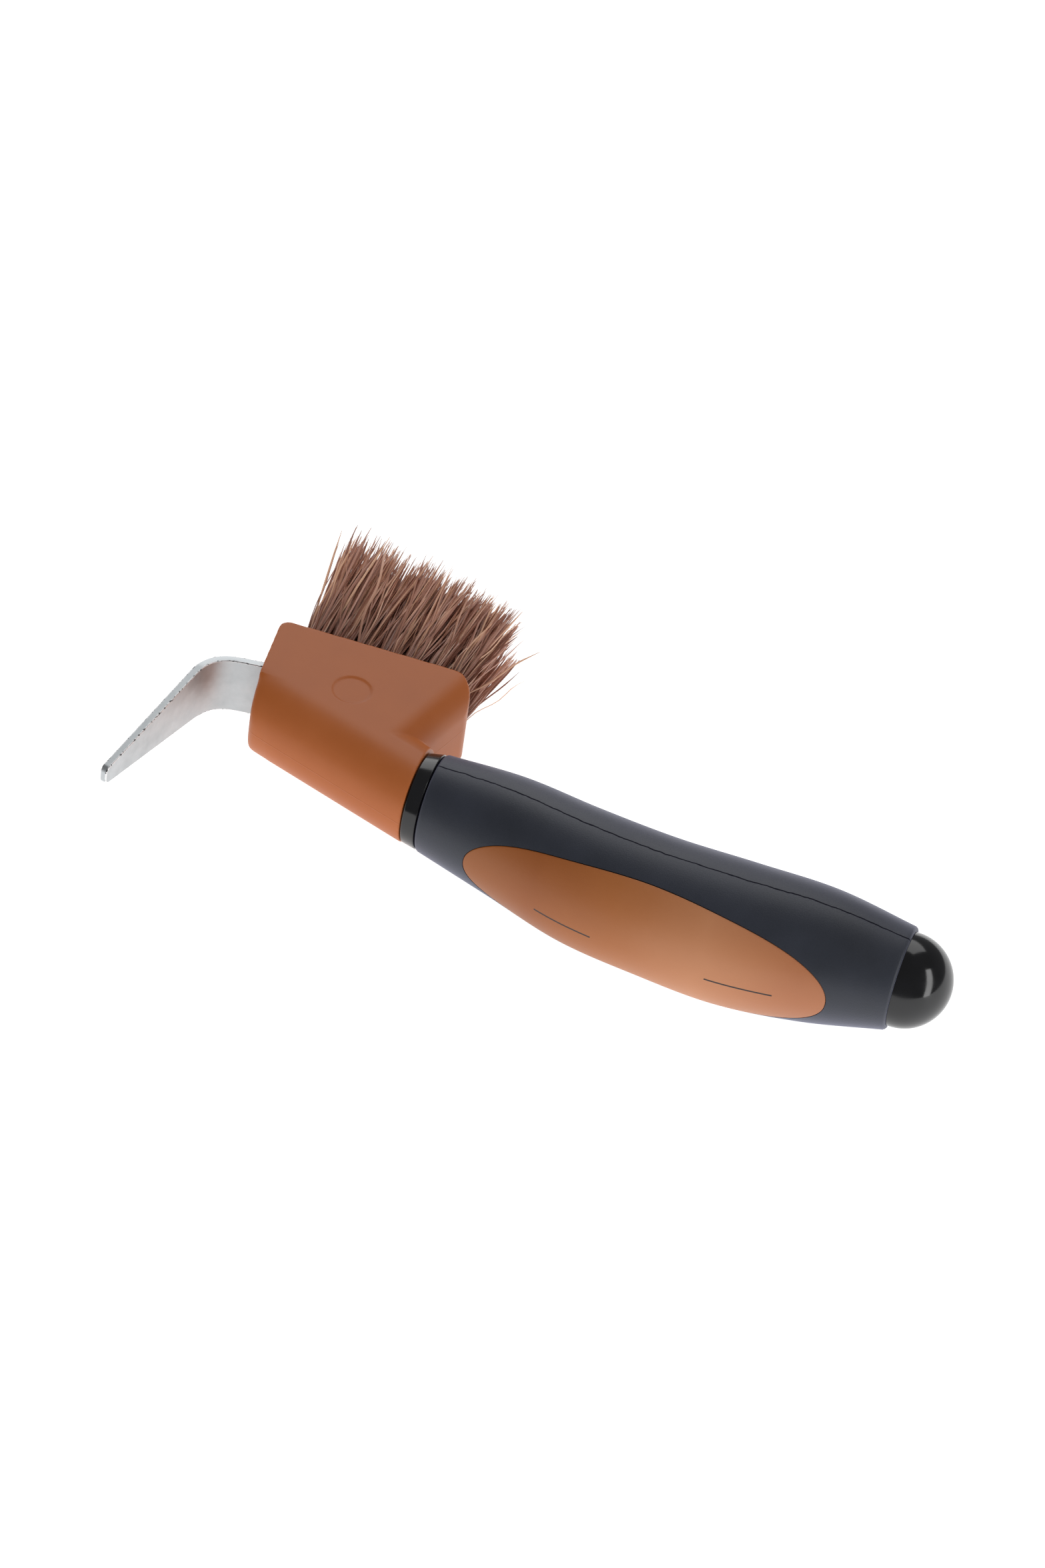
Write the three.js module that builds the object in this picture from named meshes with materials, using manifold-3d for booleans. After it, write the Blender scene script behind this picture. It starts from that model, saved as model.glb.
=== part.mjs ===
// Hoof pick with a stiff brush: a bent steel hook and twenty bristle tufts set in a moulded head,
// on a black core handle with a soft grip and a coloured inlay along its belly.
//
// Millimetres. +X runs from the hook to the end knob, +Y from the hook's tip to the bristles, and
// +Z is up through the tool as it lies on its side. Sizes along X and Y are counted from the neck,
// where the grip starts, on the neck's axis. The finished tool is then moved so that its origin is
// the bottom centre of its bounding box.

import * as THREE from 'three';
import { mergeVertices, toCreasedNormals } from 'three/addons/utils/BufferGeometryUtils.js';
import Module from 'manifold-3d';

const wasm = await Module();
wasm.setup();

// ---- Driving dimensions ----

const GAP = 0.3; // clearance between pieces that touch

// Handle: the grip's back and belly in side view, at evenly spaced stations from neck to knob
const GRIP_LENGTH = 121;
const GRIP_BACK = [12.3, 12, 9, 7.4, 7.6, 8.2, 5.9];
const GRIP_BELLY = [-12, -17.8, -24.1, -26.6, -27.4, -24.5, -19.5];
const GRIP_WALL = 3;
const GRIP_LIP = 0.6; // rounding of the sleeve's two ends
const COLLAR = { length: 4, headRadius: 11.3, gripRadius: 11.9 };
const SPIGOT = { length: 16, radius: 6.5, barbs: 4, barbHeight: 0.9 };
const KNOB_RADIUS = 11.6;

// Inlay: an oval in plan, set into the belly of the grip, fuller towards the knob
const INLAY = { start: 13.6, widest: 65, end: 107.1, halfWidth: 14.6, fullness: 2.15 };

// Head: side outline, width, and the belly that climbs towards the hook
const HEAD_END = -COLLAR.length - GAP;
const HEAD_HALF_WIDTH = 11.4;
const BELLY_RISE = Math.atan(0.32);
const BELLY_AXIS_HEIGHT = 0.8; // at the neck end
const BELLY_DEPTH = 11; // below that axis
const BELLY_FULLNESS = 2.2; // 2 is a half oval, more is squarer
const HEAD_EDGE = 1.2; // rounding where the flat sides meet the brush face, front and rear
const FACE_FRONT = new THREE.Vector2(-53.2, 33.7);
const FACE_REAR = new THREE.Vector2(-2.3, 36);
const REAR_FOOT_HEIGHT = 10; // where the leaning rear wall starts
const REAR_CORNER_RADIUS = 7.5;
const BOSS_RADIUS = 11.6; // round end that meets the collar
const MOULD_MARK = { x: -28.4, y: 17.1, radius: 4.75, depth: 0.2 };

// Brush: three rows of tufts, the middle one staggered
const TUFT_PITCH = 5.85;
const TUFT_ROWS = [
  { name: 'lower', z: -6.3, count: 7 },
  { name: 'middle', z: 0, count: 6 },
  { name: 'upper', z: 6.3, count: 7 },
];
const BRUSH_CENTRE = -25.4;
const HOLE = { radius: 2.5, depth: 10 };
const TUFT = { rootRadius: 2.2, tipRadius: 3, length: 36 };
const FAN = 0.12; // how far the outermost tufts lean outwards, per unit of length
const ANCHOR = { length: 4.2, height: 1.6, thickness: 0.4, aboveRoot: 1.9 };

// Hook: a flat bar; the tang kinks inside the head, the blade turns down and tapers to its tip
const BAR = { thickness: 2, tipThickness: 1.8, halfWidth: 8, tipHalfWidth: 2.4 };
const BEND_CENTRE = new THREE.Vector2(-57.1, 9.2);
const BEND_RADIUS = 8.5; // inside of the bend
const SHANK_ANGLE = THREE.MathUtils.degToRad(10); // below horizontal, towards the bend
const BLADE_ANGLE = THREE.MathUtils.degToRad(77);
const SHANK_LENGTH = 12.5;
const TANG = { length: 25, drop: THREE.MathUtils.degToRad(11) };
const BLADE_LENGTH = 38.6;
const TAPER_START = 12.5;

const FINISH = {
  steel: { color: '#c9cacb', roughness: 0.3, metalness: 1 },
  brownPlastic: { color: '#b06a43', roughness: 0.5, metalness: 0 },
  glossBlack: { color: '#17181b', roughness: 0.12, metalness: 0 },
  softBlack: { color: '#33363c', roughness: 0.65, metalness: 0 },
  bristle: { color: '#9c6c57', roughness: 0.5, metalness: 0 },
  wire: { color: '#b9babb', roughness: 0.4, metalness: 1 },
};

// ---- Solids and meshes ----

// Closed three.js geometry as a solid that can be joined and cut.
function solid(geometry) {
  const bare = geometry.clone();
  bare.deleteAttribute('normal');
  bare.deleteAttribute('uv');
  const welded = mergeVertices(bare, 1e-4);
  const corners = welded.index.array;
  const triangles = [];
  for (let i = 0; i < corners.length; i += 3) {
    const [a, b, c] = corners.slice(i, i + 3);
    if (a !== b && b !== c && c !== a) triangles.push(a, b, c);
  }
  return new wasm.Manifold(new wasm.Mesh({
    numProp: 3,
    vertProperties: welded.attributes.position.array,
    triVerts: new Uint32Array(triangles),
  }));
}

function piece(name, body, finish) {
  const { vertProperties, triVerts } = body.getMesh();
  const geometry = new THREE.BufferGeometry();
  geometry.setAttribute('position', new THREE.BufferAttribute(vertProperties, 3));
  geometry.setIndex(new THREE.BufferAttribute(triVerts, 1));
  const smooth = toCreasedNormals(geometry, THREE.MathUtils.degToRad(35));
  const mesh = new THREE.Mesh(smooth, new THREE.MeshStandardMaterial(finish));
  mesh.name = name;
  return mesh;
}

// ---- Outlines ----

// Convex outline with arcs at its corners. Corners are [x, y, radius], anticlockwise.
function roundedOutline(corners) {
  const shape = new THREE.Shape();
  const point = (i) => new THREE.Vector2(...corners.at(i % corners.length));
  corners.forEach(([x, y, radius = 0], i) => {
    if (radius === 0) {
      if (i === 0) shape.moveTo(x, y);
      else shape.lineTo(x, y);
      return;
    }
    const corner = point(i);
    const back = point(i - 1).sub(corner).normalize();
    const ahead = point(i + 1).sub(corner).normalize();
    const half = Math.acos(back.dot(ahead)) / 2;
    const middle = back.clone().add(ahead).normalize();
    const centre = corner.clone().addScaledVector(middle, radius / Math.sin(half));
    const reach = radius / Math.tan(half);
    const start = corner.clone().addScaledVector(back, reach).sub(centre).angle();
    const end = corner.clone().addScaledVector(ahead, reach).sub(centre).angle();
    shape.absarc(centre.x, centre.y, radius, start, end, false);
  });
  return shape;
}

// Straight extrusion of an XY outline, from z = 0.
function extruded(shape, depth, curveSegments = 4) {
  return new THREE.ExtrudeGeometry(shape, { depth, curveSegments, bevelEnabled: false });
}

// The same, centred on z = 0.
function slab(shape, width, curveSegments) {
  return extruded(shape, width, curveSegments).translate(0, 0, -width / 2);
}

// Solid of revolution about X from [x, radius] points, then bent to follow the handle.
function turned(profile, sides) {
  const points = profile.map(([x, radius]) => new THREE.Vector2(radius, x));
  const lathe = new THREE.LatheGeometry(points, sides).rotateZ(-Math.PI / 2);
  const position = lathe.attributes.position;
  for (let i = 0; i < position.count; i++) {
    position.setY(i, position.getY(i) + gripAxis(position.getX(i)));
  }
  return solid(lathe);
}

// ---- Handle ----

const stations = GRIP_BACK.map((_, i) => (i * GRIP_LENGTH) / (GRIP_BACK.length - 1));
const backLine = new THREE.CubicInterpolant(stations, GRIP_BACK, 1);
const bellyLine = new THREE.CubicInterpolant(stations, GRIP_BELLY, 1);

function gripAxis(x) {
  return (backLine.evaluate(x)[0] + bellyLine.evaluate(x)[0]) / 2;
}

function gripRadius(x) {
  return (backLine.evaluate(x)[0] - bellyLine.evaluate(x)[0]) / 2;
}

// Points along the grip, a given depth below its skin.
function gripProfile(start, end, steps, depth) {
  return Array.from({ length: steps + 1 }, (_, i) => {
    const x = THREE.MathUtils.lerp(start, end, i / steps);
    return [x, gripRadius(x) - depth];
  });
}

// Whole sleeve, before it is parted into soft grip and inlay.
function sleeve() {
  const bore = gripProfile(0, GRIP_LENGTH, 12, GRIP_WALL);
  const skin = gripProfile(GRIP_LIP, GRIP_LENGTH - GRIP_LIP, 24, 0).reverse();
  const knobEnd = [GRIP_LENGTH, gripRadius(GRIP_LENGTH) - GRIP_LIP];
  const neckEnd = [0, gripRadius(0) - GRIP_LIP];
  return turned([...bore, knobEnd, ...skin, neckEnd, bore[0]].reverse(), 40);
}

// Prism through the belly of the sleeve with the inlay's oval outline, shrunk by an inset.
function inlayPrism(inset) {
  const { start, widest, end, halfWidth, fullness } = INLAY;
  const outline = new THREE.Shape();
  const count = 64;
  const oval = (cosine) => Math.sign(cosine) * Math.abs(cosine) ** (2 / fullness);
  for (let i = 0; i < count; i++) {
    const angle = (i / count) * 2 * Math.PI;
    const reach = Math.cos(angle) > 0 ? end - widest : widest - start;
    const x = widest + (reach - inset) * oval(Math.cos(angle));
    const z = (halfWidth - inset) * oval(Math.sin(angle));
    if (i === 0) outline.moveTo(x, z);
    else outline.lineTo(x, z);
  }
  const top = gripAxis(0) - GRIP_WALL;
  return solid(extruded(outline, 40).rotateX(Math.PI / 2).translate(0, top, 0));
}

// One moulding: barbed spigot in the head, collar, core under the grip, and the end knob.
function handleCore() {
  const spigotStart = -COLLAR.length - SPIGOT.length;
  const barbPitch = SPIGOT.length / SPIGOT.barbs;
  const profile = [[spigotStart, 0]];
  for (let i = 0; i < SPIGOT.barbs; i++) {
    const x = spigotStart + i * barbPitch;
    const valley = SPIGOT.radius - SPIGOT.barbHeight;
    profile.push([x, valley], [x + barbPitch * 0.7, SPIGOT.radius], [x + barbPitch * 0.7, valley]);
  }
  profile.push([-COLLAR.length, SPIGOT.radius - SPIGOT.barbHeight]);
  profile.push([-COLLAR.length, COLLAR.headRadius], [-GAP, COLLAR.gripRadius]);
  const core = gripProfile(0, GRIP_LENGTH, 12, GRIP_WALL + GAP);
  core[0][0] = -GAP;
  core.at(-1)[0] = GRIP_LENGTH + GAP;
  profile.push(...core);
  const knobSteps = 9;
  const knobCentre = GRIP_LENGTH + GAP + 0.4;
  profile.push([GRIP_LENGTH + GAP, KNOB_RADIUS]);
  for (let i = 0; i <= knobSteps; i++) {
    const angle = (i / knobSteps) * (Math.PI / 2);
    const radius = i === knobSteps ? 0 : KNOB_RADIUS * Math.cos(angle);
    profile.push([knobCentre + KNOB_RADIUS * Math.sin(angle), radius]);
  }
  return turned(profile, 36);
}

// ---- Hook ----

// Side outline of the bar, grown by a clearance on both faces.
function barOutline(clearance = 0) {
  const toBend = new THREE.Vector2(-Math.cos(SHANK_ANGLE), -Math.sin(SHANK_ANGLE));
  const toTip = new THREE.Vector2(-Math.cos(BLADE_ANGLE), -Math.sin(BLADE_ANGLE));
  const toTangEnd = new THREE.Vector2(Math.cos(TANG.drop), -Math.sin(TANG.drop));
  const shankUp = new THREE.Vector2(toBend.y, -toBend.x);
  const bladeOut = new THREE.Vector2(toTip.y, -toTip.x);
  const tangUp = new THREE.Vector2(-toTangEnd.y, toTangEnd.x);
  const shankStart = BEND_CENTRE.clone().addScaledVector(shankUp, BEND_RADIUS);
  const kink = shankStart.addScaledVector(toBend, -SHANK_LENGTH);

  const kinkAt = (d) => kink.clone()
    .addScaledVector(shankUp.clone().add(tangUp), d / (1 + shankUp.dot(tangUp)));
  const tangEndAt = (d) => kink.clone()
    .addScaledVector(toTangEnd, TANG.length + clearance).addScaledVector(tangUp, d);
  const tipAt = (d) => BEND_CENTRE.clone()
    .addScaledVector(bladeOut, BEND_RADIUS + d).addScaledVector(toTip, BLADE_LENGTH);

  const inner = -clearance;
  const outer = BAR.thickness + clearance;
  const { x, y } = BEND_CENTRE;
  const shape = new THREE.Shape();
  shape.moveTo(...tipAt(BAR.tipThickness + clearance)).lineTo(...tipAt(inner));
  shape.absarc(x, y, BEND_RADIUS + inner, bladeOut.angle(), shankUp.angle(), true);
  shape.lineTo(...kinkAt(inner)).lineTo(...tangEndAt(inner));
  shape.lineTo(...tangEndAt(outer)).lineTo(...kinkAt(outer));
  shape.absarc(x, y, BEND_RADIUS + outer, shankUp.angle(), bladeOut.angle(), false);
  return shape;
}

function hook() {
  const bar = solid(slab(barOutline(), 2 * BAR.halfWidth, 6));
  const tip = BEND_CENTRE.y - BLADE_LENGTH * Math.sin(BLADE_ANGLE) + BEND_RADIUS * Math.cos(BLADE_ANGLE);
  const wide = BAR.halfWidth + 1;
  const front = roundedOutline([
    [-wide, 40], [-wide, TAPER_START + 7], [-BAR.halfWidth, TAPER_START, 14],
    [-BAR.tipHalfWidth, tip, 1.6], [BAR.tipHalfWidth, tip, 1.6],
    [BAR.halfWidth, TAPER_START, 14], [wide, TAPER_START + 7], [wide, 40],
  ]);
  const taper = extruded(front, 90).rotateY(-Math.PI / 2);
  return bar.intersect(solid(taper));
}

// ---- Brush ----

// Place of a tuft: its root on the brush face, with its own +Y along the bristles.
function tuftPlace(row, index) {
  const along = (index - (row.count - 1) / 2) * TUFT_PITCH;
  const face = FACE_REAR.clone().sub(FACE_FRONT).normalize();
  const x = BRUSH_CENTRE + along;
  const y = FACE_FRONT.y + ((x - FACE_FRONT.x) * face.y) / face.x;
  const span = 3 * TUFT_PITCH;
  const bristles = new THREE.Vector3(
    -face.y + (FAN * along) / span,
    face.x,
    (FAN * row.z) / TUFT_ROWS[2].z,
  ).normalize();
  const turn = new THREE.Quaternion().setFromUnitVectors(new THREE.Vector3(0, 1, 0), bristles);
  return new THREE.Matrix4().compose(new THREE.Vector3(x, y, row.z), turn, new THREE.Vector3(1, 1, 1));
}

// Bundle of bristles folded over its anchor: a plug in the hole that flares to the cut ends.
function tuft() {
  const root = -HOLE.depth + GAP;
  const { rootRadius, tipRadius, length } = TUFT;
  const middle = (rootRadius + tipRadius) / 2;
  const profile = [
    [0, root], [rootRadius, root], [rootRadius, 0], [middle, length * 0.4],
    [tipRadius, length - 1], [tipRadius * 0.7, length], [0, length],
  ].map(([radius, y]) => new THREE.Vector2(radius, y));
  const slot = new THREE.BoxGeometry(
    3 * rootRadius, ANCHOR.height + 2 * GAP, ANCHOR.thickness + 2 * GAP,
  ).translate(0, root + ANCHOR.aboveRoot, 0);
  return solid(new THREE.LatheGeometry(profile, 12)).subtract(solid(slot));
}

// Flat wire staple that holds a tuft's fold at the bottom of its hole.
function anchor() {
  const { length, height, thickness, aboveRoot } = ANCHOR;
  const strip = new THREE.BoxGeometry(length, height, thickness);
  return solid(strip.translate(0, -HOLE.depth + GAP + aboveRoot, 0));
}

// ---- Head ----

// Closed section swept along the climbing axis of the belly.
function bellyPrism(section, depth) {
  return solid(
    extruded(section, depth, 12)
      .translate(0, 0, -depth / 4)
      .rotateY(-Math.PI / 2)
      .rotateZ(-BELLY_RISE)
      .translate(HEAD_END, BELLY_AXIS_HEIGHT, 0),
  );
}

// Flat sides on a full, nearly half-round belly.
function sectionOfHead() {
  const section = new THREE.Shape().moveTo(HEAD_HALF_WIDTH, 60).lineTo(-HEAD_HALF_WIDTH, 60);
  const steps = 24;
  for (let i = 0; i <= steps; i++) {
    const angle = Math.PI * (1 + i / steps);
    const [across, down] = [Math.cos(angle), Math.sin(angle)];
    const spread = (Math.abs(across) ** BELLY_FULLNESS + Math.abs(down) ** BELLY_FULLNESS)
      ** (-1 / BELLY_FULLNESS);
    section.lineTo(HEAD_HALF_WIDTH * across * spread, BELLY_DEPTH * down * spread);
  }
  return section;
}

// What rounding the head's rear corners takes away, above the round boss at the neck.
function rearCorners() {
  const corner = (side) => {
    const inner = side * (HEAD_HALF_WIDTH - REAR_CORNER_RADIUS);
    const outer = side * (HEAD_HALF_WIDTH + 5);
    const shape = new THREE.Shape().moveTo(5, inner).lineTo(0, inner);
    const start = side * Math.PI / 2;
    shape.absarc(-REAR_CORNER_RADIUS, inner, REAR_CORNER_RADIUS, 0, start, side < 0);
    shape.lineTo(-REAR_CORNER_RADIUS, outer).lineTo(5, outer);
    return shape;
  };
  const lean = Math.atan2(FACE_REAR.x - HEAD_END, FACE_REAR.y - REAR_FOOT_HEIGHT);
  const place = (shape) => solid(
    extruded(shape, 90, 6).translate(0, 0, -45).rotateX(Math.PI / 2)
      .rotateZ(-lean).translate(HEAD_END, REAR_FOOT_HEIGHT, 0),
  );
  const boss = bellyPrism(new THREE.Shape().absarc(0, 0, BOSS_RADIUS, 0, 2 * Math.PI, false), 80);
  return place(corner(1)).add(place(corner(-1))).subtract(boss);
}

function brushHead() {
  const side = roundedOutline([
    [FACE_FRONT.x, FACE_FRONT.y, 2.5], [-51, 14, 20], [-49.7, 3.6, 2], [-44, 1.8], [-30, -14],
    [HEAD_END, -14], [HEAD_END, REAR_FOOT_HEIGHT], [FACE_REAR.x, FACE_REAR.y, 4],
  ]);
  const overlap = 0.05; // the edge rounding runs just out past the flat sides
  const flatDepth = 2 * (HEAD_HALF_WIDTH + overlap - HEAD_EDGE);
  const sideSlab = new THREE.ExtrudeGeometry(side, {
    depth: flatDepth, curveSegments: 4, bevelSegments: 3,
    bevelThickness: HEAD_EDGE, bevelSize: HEAD_EDGE, bevelOffset: -HEAD_EDGE,
  }).translate(0, 0, -flatDepth / 2);
  let head = solid(sideSlab)
    .intersect(bellyPrism(sectionOfHead(), 100))
    .subtract(rearCorners());

  const spigotHole = SPIGOT.length + 2 * GAP;
  const socket = new THREE.CylinderGeometry(SPIGOT.radius + GAP, SPIGOT.radius + GAP, spigotHole, 24)
    .rotateZ(Math.PI / 2).translate(HEAD_END - spigotHole / 2 + GAP, 0, 0);
  const mark = new THREE.CylinderGeometry(MOULD_MARK.radius, MOULD_MARK.radius, 1, 40)
    .rotateX(Math.PI / 2)
    .translate(MOULD_MARK.x, MOULD_MARK.y, HEAD_HALF_WIDTH - MOULD_MARK.depth + 0.5);
  const tangSlot = slab(barOutline(GAP), 2 * (BAR.halfWidth + GAP), 6);
  for (const cutter of [socket, mark, tangSlot]) head = head.subtract(solid(cutter));

  const hole = new THREE.CylinderGeometry(HOLE.radius, HOLE.radius, HOLE.depth + 2, 12)
    .translate(0, 1 - HOLE.depth / 2, 0);
  for (const row of TUFT_ROWS) {
    for (let i = 0; i < row.count; i++) {
      head = head.subtract(solid(hole.clone().applyMatrix4(tuftPlace(row, i))));
    }
  }
  return head;
}

// ---- Assembly ----

const tool = new THREE.Group();
tool.add(piece('hook', hook(), FINISH.steel));
tool.add(piece('brush_head', brushHead(), FINISH.brownPlastic));
tool.add(piece('handle_core', handleCore(), FINISH.glossBlack));

const wholeSleeve = sleeve();
tool.add(piece('soft_grip', wholeSleeve.subtract(inlayPrism(0)), FINISH.softBlack));
tool.add(piece('belly_inlay', wholeSleeve.intersect(inlayPrism(GAP)), FINISH.brownPlastic));

const tuftBody = tuft();
const anchorBody = anchor();
for (const row of TUFT_ROWS) {
  for (let i = 0; i < row.count; i++) {
    const setIn = new THREE.Group();
    setIn.applyMatrix4(tuftPlace(row, i));
    setIn.add(piece(`tuft_${row.name}_${i + 1}`, tuftBody, FINISH.bristle));
    setIn.add(piece(`anchor_${row.name}_${i + 1}`, anchorBody, FINISH.wire));
    tool.add(setIn);
  }
}

const box = new THREE.Box3().setFromObject(tool);
const centre = box.getCenter(new THREE.Vector3());
tool.position.set(-centre.x, -centre.y, -box.min.z);

export default tool;
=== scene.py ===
import math
import random

import bmesh
import bpy
from mathutils import Matrix, Vector


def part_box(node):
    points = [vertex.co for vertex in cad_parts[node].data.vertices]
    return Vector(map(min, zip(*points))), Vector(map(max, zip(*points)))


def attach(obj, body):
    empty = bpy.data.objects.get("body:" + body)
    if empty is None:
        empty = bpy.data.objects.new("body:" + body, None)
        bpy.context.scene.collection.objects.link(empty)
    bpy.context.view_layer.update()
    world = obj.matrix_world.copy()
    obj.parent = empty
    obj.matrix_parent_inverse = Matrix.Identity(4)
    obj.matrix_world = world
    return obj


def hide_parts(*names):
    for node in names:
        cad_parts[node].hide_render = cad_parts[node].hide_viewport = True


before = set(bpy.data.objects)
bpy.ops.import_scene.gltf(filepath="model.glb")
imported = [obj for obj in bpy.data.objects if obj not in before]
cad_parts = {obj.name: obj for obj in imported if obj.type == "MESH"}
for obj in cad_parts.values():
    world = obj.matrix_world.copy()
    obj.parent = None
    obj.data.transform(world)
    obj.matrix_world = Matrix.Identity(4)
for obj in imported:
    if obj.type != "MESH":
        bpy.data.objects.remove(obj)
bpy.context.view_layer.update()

# Sizes are in millimetres, counted from the neck: the point on the handle's axis where the grip
# starts. X runs to the end knob, Y to the bristles, and Z up through the tool as it lies.


# ---- Handle core ----
# One injection moulding in gloss black ABS: the collar between head and grip, the core that the
# grip is moulded over, and the domed knob that closes the end.

MM = 0.001
GRIP_LENGTH = 121
GRIP_BACK = [12.3, 12, 9, 7.4, 7.6, 8.2, 5.9]
GRIP_BELLY = [-12, -17.8, -24.1, -26.6, -27.4, -24.5, -19.5]
GRIP_WALL = 3
JOINT_GAP = 0.3
COLLAR_LENGTH = 4
COLLAR_HEAD_RADIUS = 11.3
COLLAR_GRIP_RADIUS = 11.9
COLLAR_EDGE = 0.35
CORE_STUB = 1
CORE_STEPS = 60
CORE_SIDES = 128
KNOB_RADIUS = 11.6
KNOB_LAND = 0.7
KNOB_STEPS = 24
ARC_STEPS = 4


def line_height(levels, x):
    """Height at x of the smooth line through evenly spaced levels along the grip."""
    spans = len(levels) - 1
    place = min(max(x / GRIP_LENGTH, 0), 1) * spans
    i = min(int(place), spans - 1)
    t = place - i
    start, end = levels[i], levels[i + 1]
    before = levels[i - 1] if i > 0 else 2 * start - end
    after = levels[i + 2] if i + 2 <= spans else 2 * end - start
    leave, arrive = (end - before) / 2, (after - start) / 2
    bow = leave * t * (1 - t) ** 2 - arrive * t * t * (1 - t)
    return start + (end - start) * t * t * (3 - 2 * t) + bow


def grip_axis(x):
    """Height of the grip's axis at x."""
    return (line_height(GRIP_BACK, x) + line_height(GRIP_BELLY, x)) / 2


def grip_radius(x):
    """Radius of the grip at x."""
    return (line_height(GRIP_BACK, x) - line_height(GRIP_BELLY, x)) / 2


grip_low, grip_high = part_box("soft_grip")
deepest = min(line_height(GRIP_BELLY, x) for x in range(GRIP_LENGTH))
NECK = Vector((
    grip_low.x,
    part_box("belly_inlay")[0].y - deepest * MM,
    (grip_low.z + grip_high.z) / 2,
))
TO_FRAME = Matrix.Translation(NECK) @ Matrix.Scale(MM, 4)


def verts_of(made):
    """The vertices in what an operation made."""
    return [v for v in made if isinstance(v, bmesh.types.BMVert)]


def quarter_turn(steps):
    """Angles from 0 to 90 degrees in equal steps."""
    return [math.radians(90 * i / steps) for i in range(steps + 1)]


def turned(profile, sides):
    """Solid of revolution about X from (x, radius) points, bent to follow the handle."""
    shape = bmesh.new()
    points = [shape.verts.new((x, radius, 0)) for x, radius in profile]
    edges = [shape.edges.new(pair) for pair in zip(points, points[1:])]
    bmesh.ops.spin(
        shape, geom=points + edges, cent=(0, 0, 0), axis=(1, 0, 0), dvec=(0, 0, 0),
        angle=math.tau, steps=sides, use_merge=True,
    )
    bmesh.ops.remove_doubles(shape, verts=shape.verts, dist=1e-4)
    bmesh.ops.recalc_face_normals(shape, faces=shape.faces)
    for vert in shape.verts:
        vert.co.y += grip_axis(vert.co.x)
    return shape


def finished_piece(name, shape, finishes, slot, *nodes, crease=40):
    """The mesh as a piece of the tool, in place of its CAD nodes."""
    bmesh.ops.transform(shape, matrix=TO_FRAME, verts=shape.verts)
    mesh = bpy.data.meshes.new(name)
    shape.to_mesh(mesh)
    shape.free()
    for finish in finishes:
        mesh.materials.append(finish)
    mesh.shade_smooth()
    mesh.set_sharp_from_angle(angle=math.radians(crease))
    piece = bpy.data.objects.new(name, mesh)
    bpy.context.scene.collection.objects.link(piece)
    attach(piece, "root")
    if nodes:
        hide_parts(*nodes)
    level = piece.modifiers.new("level_faces", "WEIGHTED_NORMAL")
    level.keep_sharp = True
    return piece


def srgb(code):
    """Linear colour of an sRGB hex code."""
    parts = [int(code[i:i + 2], 16) / 255 for i in (1, 3, 5)]
    linear = [c / 12.92 if c <= 0.04045 else ((c + 0.055) / 1.055) ** 2.4 for c in parts]
    return (*linear, 1)


def add_node(tree, kind, settings, inputs):
    """Adds a node with its settings. An input is a value, or the output that it is linked to."""
    node = tree.nodes.new("ShaderNode" + kind)
    for key, value in settings.items():
        setattr(node, key, value)
    for key, value in inputs.items():
        if isinstance(value, bpy.types.NodeSocket):
            tree.links.new(value, node.inputs[key])
        else:
            node.inputs[key].default_value = value
    return node


def new_material(name, settings):
    """A material with its shader's plain values set. Returns it, its tree and its shader."""
    material = bpy.data.materials.new(name)
    material.use_nodes = True
    shader = material.node_tree.nodes["Principled BSDF"]
    for key, value in settings.items():
        shader.inputs[key].default_value = value
    return material, material.node_tree, shader


def shade_steps(tree, fac, stops):
    """Colours picked along a factor: stops are (place, hex colour)."""
    ramp = add_node(tree, "ValToRGB", {}, {"Fac": fac})
    while len(ramp.color_ramp.elements) < len(stops):
        ramp.color_ramp.elements.new(0.5)
    for element, (place, code) in zip(ramp.color_ramp.elements, stops):
        element.position = place
        element.color = srgb(code)
    return ramp.outputs["Color"]


def gloss_black_abs():
    # ABS moulded against a polished tool: a deep, clean reflection with faint handling haze
    material, tree, shader = new_material("gloss_black_moulded_abs", {"IOR": 1.54})
    place = add_node(tree, "TexCoord", {}, {}).outputs["Object"]
    haze = add_node(tree, "TexNoise", {}, {"Vector": place, "Scale": 160, "Detail": 4})
    tint = shade_steps(tree, haze.outputs["Fac"], [(0.3, "#0c0c0e"), (0.7, "#131316")])
    rough = add_node(tree, "MapRange", {}, {
        "Value": haze.outputs["Fac"], "From Min": 0.3, "From Max": 0.7, "To Min": 0.1, "To Max": 0.2,
    })
    flow = add_node(tree, "TexNoise", {}, {"Vector": place, "Scale": 60, "Detail": 1})
    bump = add_node(tree, "Bump", {}, {"Height": flow.outputs["Fac"], "Strength": 0.15, "Distance": 0.0004})
    tree.links.new(tint, shader.inputs["Base Color"])
    tree.links.new(rough.outputs["Result"], shader.inputs["Roughness"])
    tree.links.new(bump.outputs["Normal"], shader.inputs["Normal"])
    return material


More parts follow.
